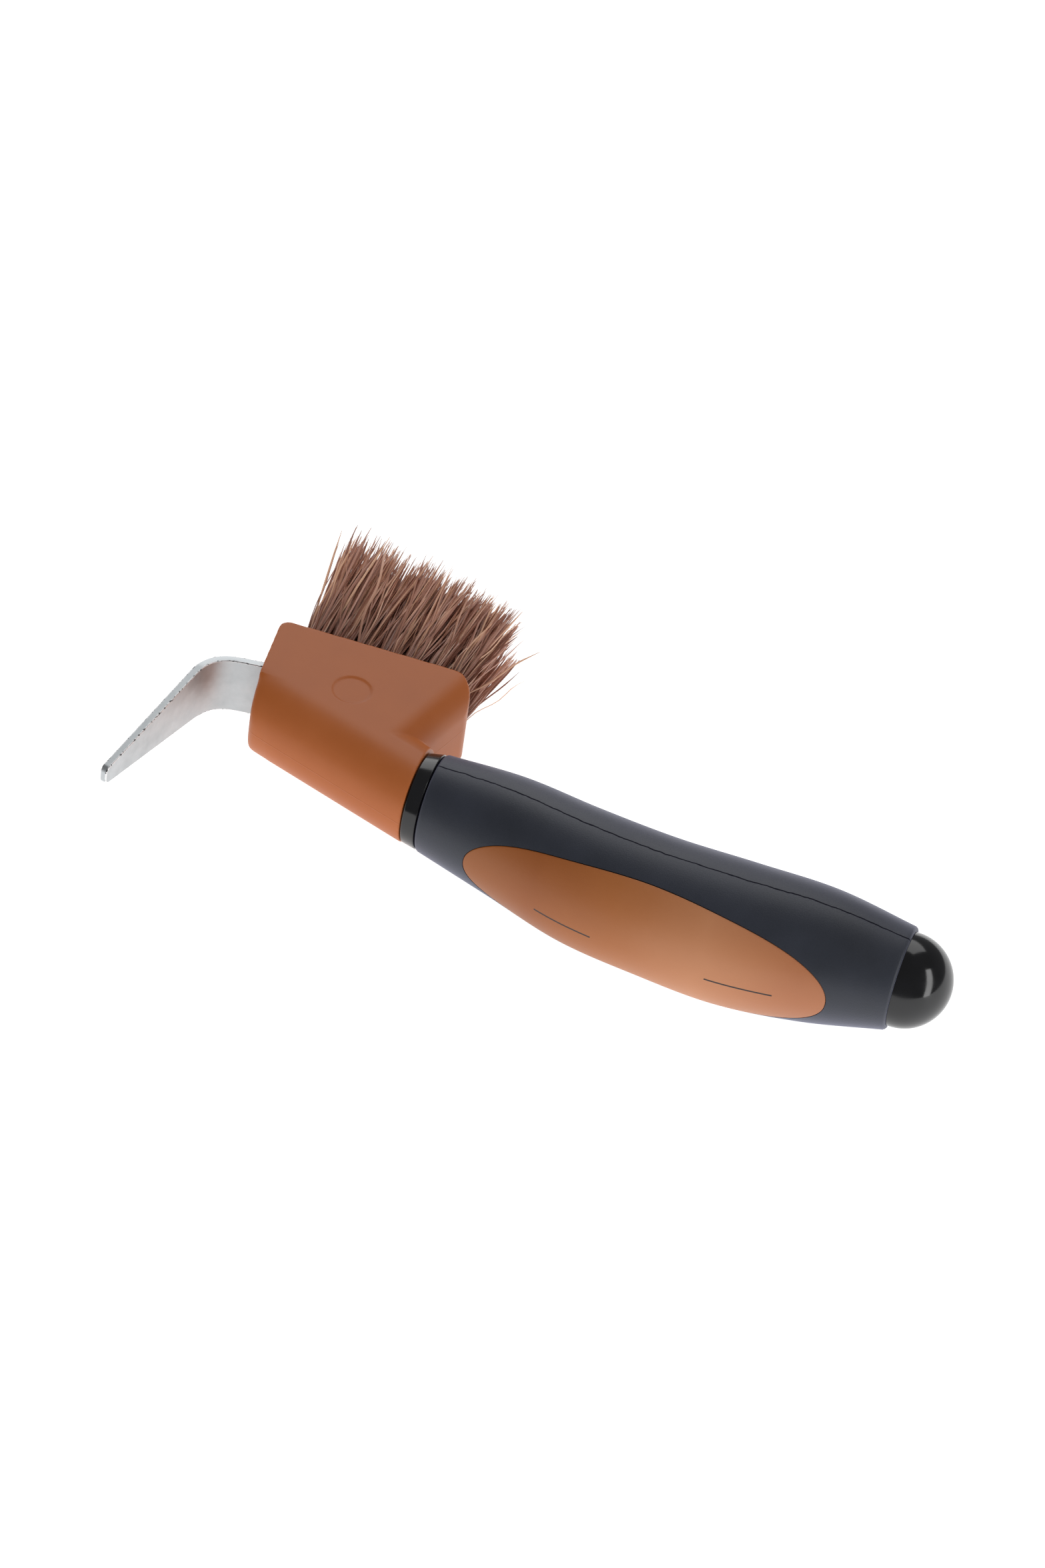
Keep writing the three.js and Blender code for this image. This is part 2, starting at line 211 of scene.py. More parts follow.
def handle_core():
    back = COLLAR_HEAD_RADIUS - COLLAR_EDGE
    stub = back - CORE_STUB
    profile = [(-COLLAR_LENGTH - CORE_STUB, 0), (-COLLAR_LENGTH - CORE_STUB, stub), (-COLLAR_LENGTH, stub)]
    for turn in quarter_turn(ARC_STEPS):
        profile.append((
            -COLLAR_LENGTH + COLLAR_EDGE * (1 - math.cos(turn)),
            back + COLLAR_EDGE * math.sin(turn),
        ))
    for turn in quarter_turn(ARC_STEPS):
        profile.append((
            -JOINT_GAP - COLLAR_EDGE * (1 - math.sin(turn)),
            COLLAR_GRIP_RADIUS - COLLAR_EDGE * (1 - math.cos(turn)),
        ))
    for i in range(CORE_STEPS + 1):
        x = GRIP_LENGTH * i / CORE_STEPS
        profile.append((x, grip_radius(x) - GRIP_WALL - JOINT_GAP))
    dome = GRIP_LENGTH + KNOB_LAND
    profile.append((GRIP_LENGTH, KNOB_RADIUS))
    for turn in quarter_turn(KNOB_STEPS)[:-1]:
        profile.append((dome + KNOB_RADIUS * math.sin(turn), KNOB_RADIUS * math.cos(turn)))
    profile.append((dome + KNOB_RADIUS, 0))
    return turned(profile, CORE_SIDES)


finished_piece(
    "handle_core_moulding", handle_core(), [gloss_black_abs()], "gloss_black", "handle_core",
)


# ---- Soft grip ----
# A sleeve of matt thermoplastic rubber, moulded over the core. The mould's two halves leave a fine
# parting groove along each side, coloured near-black and stripped of its reflection as painted shade
# in the groove, and a window in its belly takes the inlay.

GRIP_LIP = 0.6
GRIP_SIDES = 180
BORE_STEPS = 40
SKIN_STEPS = 120
WINDOW_STEPS = 220
WINDOW_DEPTH = 40
INLAY_START = 13.6
INLAY_WIDEST = 65
INLAY_END = 107.1
INLAY_HALF_WIDTH = 14.6
INLAY_FULLNESS = 2.15


def oval_point(angle, share, grow=0):
    """Plan position (x, z) on the inlay's outline, shrunk to a share of it and grown evenly."""
    across, up = math.cos(angle), math.sin(angle)
    reach = INLAY_END - INLAY_WIDEST if across > 0 else INLAY_WIDEST - INLAY_START
    power = 2 / INLAY_FULLNESS
    x = INLAY_WIDEST + share * (reach + grow) * math.copysign(abs(across) ** power, across)
    z = share * (INLAY_HALF_WIDTH + grow) * math.copysign(abs(up) ** power, up)
    return x, z


def prism(outline, depth):
    """Solid of an XY outline, from z = 0 up."""
    shape = bmesh.new()
    face = shape.faces.new([shape.verts.new((x, y, 0)) for x, y in outline])
    made = bmesh.ops.extrude_face_region(shape, geom=[face])
    bmesh.ops.translate(shape, verts=verts_of(made["geom"]), vec=(0, 0, depth))
    bmesh.ops.recalc_face_normals(shape, faces=shape.faces)
    return shape


def combined(shape, tool, operation):
    """One solid cut by, joined to or limited to another."""
    parts = []
    for part in (shape, tool):
        mesh = bpy.data.meshes.new("blank")
        part.to_mesh(mesh)
        part.free()
        parts.append(bpy.data.objects.new("blank", mesh))
        bpy.context.scene.collection.objects.link(parts[-1])
    step = parts[0].modifiers.new("combine", "BOOLEAN")
    step.operation = operation
    step.solver = "EXACT"
    step.object = parts[1]
    view = bpy.context.evaluated_depsgraph_get()
    result = bmesh.new()
    result.from_mesh(parts[0].evaluated_get(view).to_mesh())
    for part in parts:
        bpy.data.meshes.remove(part.data)
    return result


def soft_grip():
    bore = []
    for i in range(BORE_STEPS + 1):
        x = GRIP_LENGTH * i / BORE_STEPS
        bore.append((x, grip_radius(x) - GRIP_WALL))
    skin = []
    for i in range(SKIN_STEPS + 1):
        x = GRIP_LIP + (GRIP_LENGTH - 2 * GRIP_LIP) * i / SKIN_STEPS
        skin.append((x, grip_radius(x)))
    lip = [
        (GRIP_LIP * (1 - math.sin(turn)), GRIP_LIP * (1 - math.cos(turn)))
        for turn in quarter_turn(ARC_STEPS)[1:]
    ]
    neck_lip = [(x, grip_radius(x) - drop) for x, drop in reversed(lip[:-1] + [(0, GRIP_LIP)])]
    knob_lip = [(GRIP_LENGTH - x, grip_radius(GRIP_LENGTH) - drop) for x, drop in lip]
    profile = neck_lip + skin + knob_lip + bore[::-1] + neck_lip[:1]
    sleeve = turned(profile, GRIP_SIDES)
    outline = [oval_point(math.tau * i / WINDOW_STEPS, 1) for i in range(WINDOW_STEPS)]
    window = prism(outline, WINDOW_DEPTH)
    bmesh.ops.rotate(window, verts=window.verts, matrix=Matrix.Rotation(math.pi / 2, 3, "X"))
    drop = grip_axis(0) - GRIP_WALL
    bmesh.ops.translate(window, verts=window.verts, vec=(0, drop, 0))
    grip = combined(sleeve, window, "DIFFERENCE")
    seam = grip.verts.layers.float.new("seam")
    for vert in grip.verts:
        vert[seam] = vert.co.y - grip_axis(vert.co.x)
    return grip


def matt_black_rubber():
    # Thermoplastic rubber from a spark-eroded tool: an even matt grain that scatters highlights
    # into a soft sheen. The grain is drawn at 0.3 mm, twice its real size, so that it shows.
    material, tree, shader = new_material("matt_black_moulded_rubber", {
        "IOR": 1.5, "Sheen Weight": 0.4, "Sheen Roughness": 0.45, "Sheen Tint": srgb("#d4d5fa"),
    })
    place = add_node(tree, "TexCoord", {}, {}).outputs["Object"]
    cloud = add_node(tree, "TexNoise", {}, {"Vector": place, "Scale": 70, "Detail": 5})
    tint = shade_steps(tree, cloud.outputs["Fac"], [(0.3, "#22262e"), (0.7, "#2b2f39")])
    seam = add_node(tree, "Attribute", {"attribute_name": "seam"}, {}).outputs["Fac"]
    ragged = add_node(tree, "TexNoise", {}, {"Vector": place, "Scale": 320, "Detail": 2})
    wander = add_node(tree, "MapRange", {}, {
        "Value": ragged.outputs["Fac"], "To Min": -0.45, "To Max": 0.45,
    })
    off_line = add_node(tree, "Math", {"operation": "ADD"}, {0: seam, 1: wander.outputs["Result"]})
    distance = add_node(tree, "Math", {"operation": "ABSOLUTE"}, {0: off_line.outputs["Value"]})
    parting_line = add_node(tree, "MapRange", {"interpolation_type": "SMOOTHSTEP"}, {
        "Value": distance.outputs["Value"],
        "From Min": 0.13, "From Max": 0.26, "To Min": 1, "To Max": 0,
    })
    # Painted shade: the parting groove is coloured near-black, and below its reflection is taken away too.
    painted_groove_shade = srgb("#050507")
    colour = add_node(tree, "Mix", {"data_type": "RGBA"}, {
        0: parting_line.outputs["Result"], 6: tint, 7: painted_groove_shade,
    })
    grain = add_node(tree, "TexNoise", {}, {"Vector": place, "Scale": 3300, "Detail": 1})
    rough = add_node(tree, "MapRange", {}, {
        "Value": cloud.outputs["Fac"], "To Min": 0.42, "To Max": 0.56,
    })
    grain_bump = add_node(tree, "Bump", {}, {
        "Height": grain.outputs["Fac"], "Strength": 0.25, "Distance": 0.00012,
    })
    bump = add_node(tree, "Bump", {}, {
        "Height": parting_line.outputs["Result"], "Strength": 0.35, "Distance": -0.00012,
        "Normal": grain_bump.outputs["Normal"],
    })
    # Painted shade: no specular reflection along the parting groove.
    specular_lost_to_shade = add_node(tree, "MapRange", {}, {
        "Value": parting_line.outputs["Result"], "To Min": 0.5, "To Max": 0,
    })
    tree.links.new(colour.outputs[2], shader.inputs["Base Color"])
    tree.links.new(specular_lost_to_shade.outputs["Result"], shader.inputs["Specular IOR Level"])
    tree.links.new(rough.outputs["Result"], shader.inputs["Roughness"])
    tree.links.new(bump.outputs["Normal"], shader.inputs["Normal"])
    return material


finished_piece(
    "soft_grip_sleeve", soft_grip(), [matt_black_rubber()], "soft_black", "soft_grip",
)


# ---- Belly inlay ----
# An oval pad of brown thermoplastic rubber in the window of the grip, flush with its skin and
# rounded over at the rim. Two thin printed lines run along its middle.

INLAY_THICKNESS = 2.6
INLAY_GAP = 0.05
INLAY_RIM = 0.3
INLAY_RINGS = 30
INLAY_SIDES = 180
LINE_HALF_WIDTH = 0.23
LINES = [(34.2, 49.4, -1.2), (78.4, 94.7, -0.5)]


def folded_edges(shape, turn):
    """Edges whose two faces meet at more than a turn, in radians."""
    return [e for e in shape.edges if len(e.link_faces) == 2 and e.calc_face_angle() > turn]


def belly_inlay():
    shape = bmesh.new()
    bmesh.ops.create_circle(shape, cap_ends=True, segments=INLAY_SIDES, radius=1)
    face = shape.faces[:][0]
    for _ in range(INLAY_RINGS - 1):
        bmesh.ops.inset_region(
            shape, faces=[face], thickness=1 / INLAY_RINGS, use_boundary=True, use_even_offset=True,
        )
    bmesh.ops.poke(shape, faces=[f for f in shape.faces if len(f.verts) > 4])
    for vert in shape.verts:
        share = math.hypot(vert.co.x, vert.co.y)
        x, z = oval_point(math.atan2(vert.co.y, vert.co.x), min(share, 1), -INLAY_GAP)
        y = grip_axis(x) - math.sqrt(max(grip_radius(x) ** 2 - z * z, 0))
        vert.co = (x, y, z)
    bmesh.ops.recalc_face_normals(shape, faces=shape.faces)
    if sum(f.normal.y for f in shape.faces) > 0:
        bmesh.ops.reverse_faces(shape, faces=shape.faces)
    bmesh.ops.solidify(shape, geom=shape.faces, thickness=INLAY_THICKNESS)
    bmesh.ops.bevel(
        shape, geom=folded_edges(shape, 1), offset=INLAY_RIM, segments=3, profile=0.5, affect="EDGES",
        material=-1, clamp_overlap=True,
    )
    return shape


def brown_rubber():
    # The same rubber family as the grip in brown, from a finer tool: satin, and coloured paler towards
    # the knob and darker at the neck, a painted gradient of light across the pad. The two thin lines are
    # printed on it in dark brown.
    material, tree, shader = new_material("brown_moulded_rubber", {"IOR": 1.5})
    place = add_node(tree, "TexCoord", {}, {}).outputs["Object"]
    cloud = add_node(tree, "TexNoise", {}, {"Vector": place, "Scale": 55, "Detail": 5})
    centred = add_node(tree, "Mapping", {"vector_type": "POINT"}, {
        "Vector": place, "Location": (-NECK.x, -NECK.y, -NECK.z),
    })
    spot = add_node(tree, "SeparateXYZ", {}, {"Vector": centred.outputs["Vector"]})
    # Painted light: the pad's colour runs from darker at the neck end to paler towards the knob.
    painted_light_ramp = add_node(tree, "MapRange", {}, {
        "Value": spot.outputs["X"], "From Min": INLAY_START * MM, "From Max": INLAY_END * MM,
    })
    mottle_and_painted_light = add_node(tree, "Math", {"operation": "MULTIPLY_ADD"}, {
        0: cloud.outputs["Fac"], 1: 0.16, 2: painted_light_ramp.outputs["Result"],
    })
    tint = shade_steps(tree, mottle_and_painted_light.outputs["Value"], [
        (0.08, "#9b5822"), (0.3, "#9b551f"), (0.5, "#ae6834"), (0.75, "#c5845a"), (1, "#b5724a"),
    ])
    printed = None
    for start, end, z in LINES:
        across = add_node(tree, "Math", {"operation": "COMPARE"}, {
            0: spot.outputs["Z"], 1: z * MM, 2: LINE_HALF_WIDTH * MM,
        })
        along = add_node(tree, "Math", {"operation": "COMPARE"}, {
            0: spot.outputs["X"], 1: (start + end) / 2 * MM, 2: (end - start) / 2 * MM,
        })
        line = add_node(tree, "Math", {"operation": "MULTIPLY"}, {
            0: along.outputs["Value"], 1: across.outputs["Value"],
        })
        printed = line if printed is None else add_node(tree, "Math", {"operation": "ADD"}, {
            0: printed.outputs["Value"], 1: line.outputs["Value"],
        })
    colour = add_node(tree, "Mix", {"data_type": "RGBA"}, {
        0: printed.outputs["Value"], 6: tint, 7: srgb("#2b1e1a"),
    })
    grain = add_node(tree, "TexNoise", {}, {"Vector": place, "Scale": 2600, "Detail": 2})
    rough = add_node(tree, "MapRange", {}, {
        "Value": cloud.outputs["Fac"], "To Min": 0.38, "To Max": 0.52,
    })
    bump = add_node(tree, "Bump", {}, {
        "Height": grain.outputs["Fac"], "Strength": 0.2, "Distance": 0.00012,
    })
    tree.links.new(colour.outputs[2], shader.inputs["Base Color"])
    tree.links.new(rough.outputs["Result"], shader.inputs["Roughness"])
    tree.links.new(bump.outputs["Normal"], shader.inputs["Normal"])
    return material


finished_piece(
    "inlay_pad", belly_inlay(), [brown_rubber()], "brown_inlay", "belly_inlay",
)


# ---- Hook ----
# One flat bar of steel, blanked from strip, bent down to a blade and drawn in to a narrow tip. It
# is tumbled bright, its edges are left torn by the blanking, and its tang is held in the head.

BAR_THICKNESS = 2
BAR_TIP_THICKNESS = 1.8
BAR_HALF_WIDTH = 8
BAR_TIP_HALF_WIDTH = 2.4
BEND_CENTRE = Vector((-56.9, 9.2, 0))
BEND_RADIUS = 8.5
SHANK_ANGLE = math.radians(10)
BLADE_ANGLE = math.radians(77.8)
SHANK_LENGTH = 12.5
TANG_LENGTH = 18
BLADE_LENGTH = 39
TAPER_START = 12.5
TIP_ROUNDING = 1.5
BAR_EDGE = 0.32
BEND_STEPS = 48
EASED_REACH = 8.6


def pushed(shape, cap, move, steps):
    """The end face of a bar, extruded by a move in equal steps. Returns the new end face."""
    for _ in range(steps):
        made = bmesh.ops.extrude_face_region(shape, geom=[cap, *cap.edges])["geom"]
        cap = next(f for f in made if isinstance(f, bmesh.types.BMFace))
        bmesh.ops.translate(shape, verts=cap.verts, vec=move / steps)
    return cap


def eased_step(value, start, end):
    """0 up to the start, 1 from the end, and a smooth rise between them."""
    t = min(max((value - start) / (end - start), 0), 1)
    return t * t * (3 - 2 * t)


def hook_bar():
    def heading(angle):
        return Vector((-math.cos(angle), -math.sin(angle), 0))

    turns = [
        SHANK_ANGLE + (BLADE_ANGLE - SHANK_ANGLE) * eased_step(k + 0.5, 0, BEND_STEPS)
        for k in range(BEND_STEPS)
    ]
    to_bend, to_tip = heading(SHANK_ANGLE), heading(BLADE_ANGLE)
    shank_up = Vector((to_bend.y, -to_bend.x, 0))
    blade_out = Vector((to_tip.y, -to_tip.x, 0))
    middle = BEND_RADIUS + BAR_THICKNESS / 2
    reach = middle * math.tan((BLADE_ANGLE - SHANK_ANGLE) / 2)
    corner = BEND_CENTRE + shank_up * middle + to_bend * reach
    run = sum((heading(a) for a in turns), Vector()) / BEND_STEPS
    half_run = run.length / 2 / math.cos((BLADE_ANGLE - SHANK_ANGLE) / 2)
    bend_length = EASED_REACH / half_run
    shape = bmesh.new()
    bmesh.ops.create_grid(shape, x_segments=1, y_segments=1, size=0.5)
    start = BEND_CENTRE + shank_up * middle - to_bend * (SHANK_LENGTH + TANG_LENGTH)
    straight = (corner - start).length - EASED_REACH
    width = Vector((0, 0, 2 * BAR_HALF_WIDTH))
    frame_axes = Matrix((shank_up * BAR_THICKNESS, width, to_bend)).transposed().to_4x4()
    bmesh.ops.transform(shape, matrix=Matrix.Translation(start) @ frame_axes, verts=shape.verts)
    cap = pushed(shape, shape.faces[:][0], to_bend * straight, 1)
    last = SHANK_ANGLE
    for angle in [*turns, BLADE_ANGLE]:
        middle_of_cap = cap.calc_center_median()
        bmesh.ops.rotate(
            shape, verts=cap.verts, cent=middle_of_cap, matrix=Matrix.Rotation(angle - last, 3, "Z"),
        )
        last = angle
        if angle != BLADE_ANGLE:
            cap = pushed(shape, cap, heading(angle) * bend_length / BEND_STEPS, 1)
    cap = pushed(shape, cap, to_tip * (BLADE_LENGTH + reach - EASED_REACH), 1)
    tip_height = cap.calc_center_median().y
    blade_start = BEND_CENTRE + blade_out * middle
    for vert in shape.verts:
        if vert.co.y < TAPER_START and vert.co.x < BEND_CENTRE.x:
            share = (TAPER_START - vert.co.y) / (TAPER_START - tip_height)
            half = BAR_HALF_WIDTH + (BAR_TIP_HALF_WIDTH - BAR_HALF_WIDTH) * share
            vert.co.z = math.copysign(half, vert.co.z)
            gone = max((vert.co - blade_start).dot(to_tip) / BLADE_LENGTH, 0)
            if (vert.co - BEND_CENTRE).dot(blade_out) > middle:
                vert.co -= blade_out * (BAR_THICKNESS - BAR_TIP_THICKNESS) * gone
    bmesh.ops.recalc_face_normals(shape, faces=shape.faces)
    corners = [
        e for e in cap.edges
        if abs((e.verts[0].co - e.verts[1].co).normalized().z) < 0.5
    ]
    bmesh.ops.bevel(
        shape, geom=corners, offset=TIP_ROUNDING, segments=6, profile=0.5, affect="EDGES",
        material=-1,
    )
    made = bmesh.ops.bevel(
        shape, geom=folded_edges(shape, 0.6), offset=BAR_EDGE, segments=4, profile=0.5, affect="EDGES",
        material=-1,
    )
    for face in made["faces"]:
        face.material_index = 1
    return shape


def tumbled_steel(name, torn_highlit_edge):
    # Steel strip tumbled and buffed to a satin: pale and bright, with soft cloudy patches. On the
    # blanked edge the metal is torn, which breaks the reflection into short dark nicks. The edge is
    # coloured near-white, a painted highlight where the edges catch the light.
    material, tree, shader = new_material(name, {"Metallic": 1})
    place = add_node(tree, "TexCoord", {}, {}).outputs["Object"]
    cloud = add_node(tree, "TexNoise", {}, {"Vector": place, "Scale": 260, "Detail": 6})
    # Painted highlight: the edge's colour is near-white, paler than the faces.
    low, high = ("#e2e2e3", "#f4f4f4") if torn_highlit_edge else ("#b6babc", "#cdd1d3")
    tint = shade_steps(tree, cloud.outputs["Fac"], [(0.3, low), (0.7, high)])
    rough = add_node(tree, "MapRange", {}, {
        "Value": cloud.outputs["Fac"], "From Min": 0.3, "From Max": 0.7, "To Min": 0.43, "To Max": 0.55,
    })
    fine = add_node(tree, "TexNoise", {}, {"Vector": place, "Scale": 1500, "Detail": 3})
    strength, depth = (0.5, 0.0002) if torn_highlit_edge else (0.12, 0.0001)
    bump = add_node(tree, "Bump", {}, {
        "Height": fine.outputs["Fac"], "Strength": strength, "Distance": depth,
    })
    colour = tint
    if torn_highlit_edge:
        nicks = add_node(tree, "TexNoise", {}, {"Vector": place, "Scale": 1300, "Detail": 3})
        torn_part = add_node(tree, "MapRange", {}, {
            "Value": nicks.outputs["Fac"], "From Min": 0.57, "From Max": 0.6,
        })
        mixed = add_node(tree, "Mix", {"data_type": "RGBA"}, {
            0: torn_part.outputs["Result"], 6: tint, 7: srgb("#5d5c5c"),
        })
        colour = mixed.outputs[2]
    tree.links.new(colour, shader.inputs["Base Color"])
    tree.links.new(rough.outputs["Result"], shader.inputs["Roughness"])
    tree.links.new(bump.outputs["Normal"], shader.inputs["Normal"])
    return material


finished_piece(
    "hook_bar", hook_bar(),
    [tumbled_steel("satin_tumbled_steel", False), tumbled_steel("torn_steel_edge_painted_highlight", True)],
    "steel", "hook",
)


# ---- Brush head ----
# A solid brown polypropylene moulding: flat sides on a full belly that climbs towards the hook, a
# leaning rear wall with one large corner and one nearly sharp, and a round boss at the collar. A
# shallow round mould mark is sunk in the upper side.

HEAD_END = -COLLAR_LENGTH - JOINT_GAP
HEAD_HALF_WIDTH = 11.4
BELLY_RISE = math.atan(0.32)
BELLY_AXIS_HEIGHT = 0.8
BELLY_DEPTH = 11
BELLY_FULLNESS = 2.2
FACE_FRONT = Vector((-53.2, 33.7))
FACE_REAR = Vector((0, 36))
REAR_TOP_RADIUS = 6.5
REAR_FOOT = Vector((-6.8, 12.6))
UPPER_CORNER_RADIUS = 7.5
LOWER_CORNER_RADIUS = 2.5
PLAN_SIZE = 90
BELLY_SWEEP = 100
BELLY_STEPS = 64
BELLY_WALL = 60
BOSS_RADIUS = 11.6
BOSS_SWEEP = 80
BOSS_SIDES = 96
MARK_CENTRE = Vector((-28.4, 17.1))
MARK_RADIUS = 4.75
MARK_DEPTH = 0.3
MARK_EDGE = 0.3
HEAD_VOXEL = 0.34
HEAD_PASSES = 9
CHIN_START = Vector((-44, 13))
CHIN_PASSES = 70
SIDE_OVERLAP = 0.1


def rounded(corners, step=6):
    """Points of a convex outline with arcs at its corners, which are (x, y, radius)."""
    points = []
    for i, (x, y, radius) in enumerate(corners):
        corner = Vector((x, y))
        if radius == 0:
            points.append(corner)
            continue
        back = (Vector(corners[i - 1][:2]) - corner).normalized()
        ahead = (Vector(corners[(i + 1) % len(corners)][:2]) - corner).normalized()
        half = back.angle(ahead) / 2
        centre = corner + (back + ahead).normalized() * radius / math.sin(half)
        start = corner + back * radius / math.tan(half) - centre
        turn = math.pi - 2 * half
        steps = max(2, round(math.degrees(turn) / step))
        for k in range(steps + 1):
            points.append(centre + Matrix.Rotation(turn * k / steps, 2) @ start)
    return points


def along_belly(section, length):
    """Solid of a section swept along the climbing axis of the belly."""
    shape = prism(section, length)
    turn = Matrix.Rotation(-BELLY_RISE, 4, "Z") @ Matrix.Rotation(-math.pi / 2, 4, "Y")
    shift = Matrix.Translation((HEAD_END, BELLY_AXIS_HEIGHT, 0))
    back = Matrix.Translation((0, 0, -length / 4))
    bmesh.ops.transform(shape, matrix=shift @ turn @ back, verts=shape.verts)
    return shape


def belly_section():
    """Outline across the head: two flat sides that close in a full round belly."""
    points = [(HEAD_HALF_WIDTH, BELLY_WALL), (-HEAD_HALF_WIDTH, BELLY_WALL)]
    for i in range(BELLY_STEPS + 1):
        turn = math.pi * (1 + i / BELLY_STEPS)
        across, down = math.cos(turn), math.sin(turn)
        power = abs(across) ** BELLY_FULLNESS + abs(down) ** BELLY_FULLNESS
        spread = power ** (-1 / BELLY_FULLNESS)
        points.append((HEAD_HALF_WIDTH * across * spread, BELLY_DEPTH * down * spread))
    return points


def rear_plan():
    """Solid with the head's plan seen along the leaning rear wall: its corners are the rear ones."""
    side = HEAD_HALF_WIDTH + SIDE_OVERLAP
    outline = rounded([
        (-PLAN_SIZE, -side, 0), (0, -side, LOWER_CORNER_RADIUS),
        (0, side, UPPER_CORNER_RADIUS), (-PLAN_SIZE, side, 0),
    ])
    shape = prism(outline, PLAN_SIZE)
    lean = math.atan2(FACE_REAR.x - REAR_FOOT.x, FACE_REAR.y - REAR_FOOT.y)
    centred = Matrix.Translation((0, 0, -PLAN_SIZE / 2))
    upright = Matrix.Rotation(math.pi / 2, 4, "X")
    place = Matrix.Translation((*REAR_FOOT, 0)) @ Matrix.Rotation(-lean, 4, "Z")
    bmesh.ops.transform(shape, matrix=place @ upright @ centred, verts=shape.verts)
    return shape


def brush_head():
    side = rounded([
        (*FACE_FRONT, 2.5), (-51, 14, 20), (-49.7, 3.6, 4.2), (-44, 1.8, 0), (-30, -14, 0),
        (HEAD_END, -14, 0), (HEAD_END, REAR_FOOT.y, 0), (*REAR_FOOT, 0), (*FACE_REAR, REAR_TOP_RADIUS),
    ])
    width = 2 * (HEAD_HALF_WIDTH + SIDE_OVERLAP)
    slab = prism(side, width)
    bmesh.ops.translate(slab, verts=slab.verts, vec=(0, 0, -width / 2))
    boss_circle = []
    for i in range(BOSS_SIDES):
        turn = math.tau * i / BOSS_SIDES
        boss_circle.append((BOSS_RADIUS * math.cos(turn), BOSS_RADIUS * math.sin(turn)))
    plan = combined(rear_plan(), along_belly(boss_circle, BOSS_SWEEP), "UNION")
    solid = combined(slab, along_belly(belly_section(), BELLY_SWEEP), "INTERSECT")
    return combined(solid, plan, "INTERSECT")


def softened(shape, voxel, passes):
    """The solid as an even fine mesh, with every edge eased as a mould's edges are."""
    mesh = bpy.data.meshes.new("blank")
    shape.to_mesh(mesh)
    shape.free()
    blank = bpy.data.objects.new("blank", mesh)
    bpy.context.scene.collection.objects.link(blank)
    remesh = blank.modifiers.new("even_mesh", "REMESH")
    remesh.mode = "VOXEL"
    remesh.voxel_size = voxel
    ease = blank.modifiers.new("ease_edges", "SMOOTH")
    ease.factor = 0.5
    ease.iterations = passes
    result = bmesh.new()
    result.from_mesh(blank.evaluated_get(bpy.context.evaluated_depsgraph_get()).to_mesh())
    bpy.data.meshes.remove(mesh)
    return result


def marked_head():
    """The head with its edges eased, the corner under the hook most, and its mould mark sunk."""
    head = softened(brush_head(), HEAD_VOXEL, HEAD_PASSES)
    chin = [v for v in head.verts if v.co.x < CHIN_START.x and v.co.y < CHIN_START.y]
    for _ in range(CHIN_PASSES):
        bmesh.ops.smooth_vert(
            head, verts=chin, factor=0.5, use_axis_x=True, use_axis_y=True, use_axis_z=True,
        )
    for vert in head.verts:
        if vert.co.z > HEAD_HALF_WIDTH - 1:
            away = (vert.co.xy - MARK_CENTRE).length
            inside = 1 - eased_step(away, MARK_RADIUS - MARK_EDGE, MARK_RADIUS + MARK_EDGE)
            vert.co.z -= MARK_DEPTH * inside
    return head


def brown_polypropylene():
    # Polypropylene with brown masterbatch, moulded satin: a soft broad highlight, faint cloudy
    # colour, and a fine flash line round the middle where the mould's halves met.
    material, tree, shader = new_material("brown_moulded_polypropylene", {
        "IOR": 1.49, "Specular IOR Level": 0.32,
    })
    place = add_node(tree, "TexCoord", {}, {}).outputs["Object"]
    cloud = add_node(tree, "TexNoise", {}, {"Vector": place, "Scale": 50, "Detail": 5})
    tint = shade_steps(tree, cloud.outputs["Fac"], [(0.3, "#b4622e"), (0.7, "#bd6a37")])
    rough = add_node(tree, "MapRange", {}, {
        "Value": cloud.outputs["Fac"], "To Min": 0.36, "To Max": 0.48,
    })
    spot = add_node(tree, "SeparateXYZ", {}, {"Vector": place})
    middle = add_node(tree, "Math", {"operation": "SUBTRACT"}, {0: spot.outputs["Z"], 1: NECK.z})
    away = add_node(tree, "Math", {"operation": "ABSOLUTE"}, {0: middle.outputs["Value"]})
    parting_line = add_node(tree, "MapRange", {"interpolation_type": "SMOOTHSTEP"}, {
        "Value": away.outputs["Value"],
        "From Min": 0.05 * MM, "From Max": 0.2 * MM, "To Min": 1, "To Max": 0,
    })
    grain = add_node(tree, "TexNoise", {}, {"Vector": place, "Scale": 2200, "Detail": 2})
    grain_bump = add_node(tree, "Bump", {}, {
        "Height": grain.outputs["Fac"], "Strength": 0.12, "Distance": 0.0001,
    })
    bump = add_node(tree, "Bump", {}, {
        "Height": parting_line.outputs["Result"], "Strength": 0.5, "Distance": 0.0001,
        "Normal": grain_bump.outputs["Normal"],
    })
    tree.links.new(tint, shader.inputs["Base Color"])
    tree.links.new(rough.outputs["Result"], shader.inputs["Roughness"])
    tree.links.new(bump.outputs["Normal"], shader.inputs["Normal"])
    return material


finished_piece(
    "brush_head_moulding", marked_head(), [brown_polypropylene()], "brown_plastic", "brush_head",
)


# ---- Bristle tufts ----
# Twenty tufts of crimped brown polypropylene filament, about a hundred ends in each, trimmed in a
# long slope towards the handle. The tufts fan apart, most towards the handle and the upper side,
# and their filaments cross. The outermost ends are held within the width of the tool.

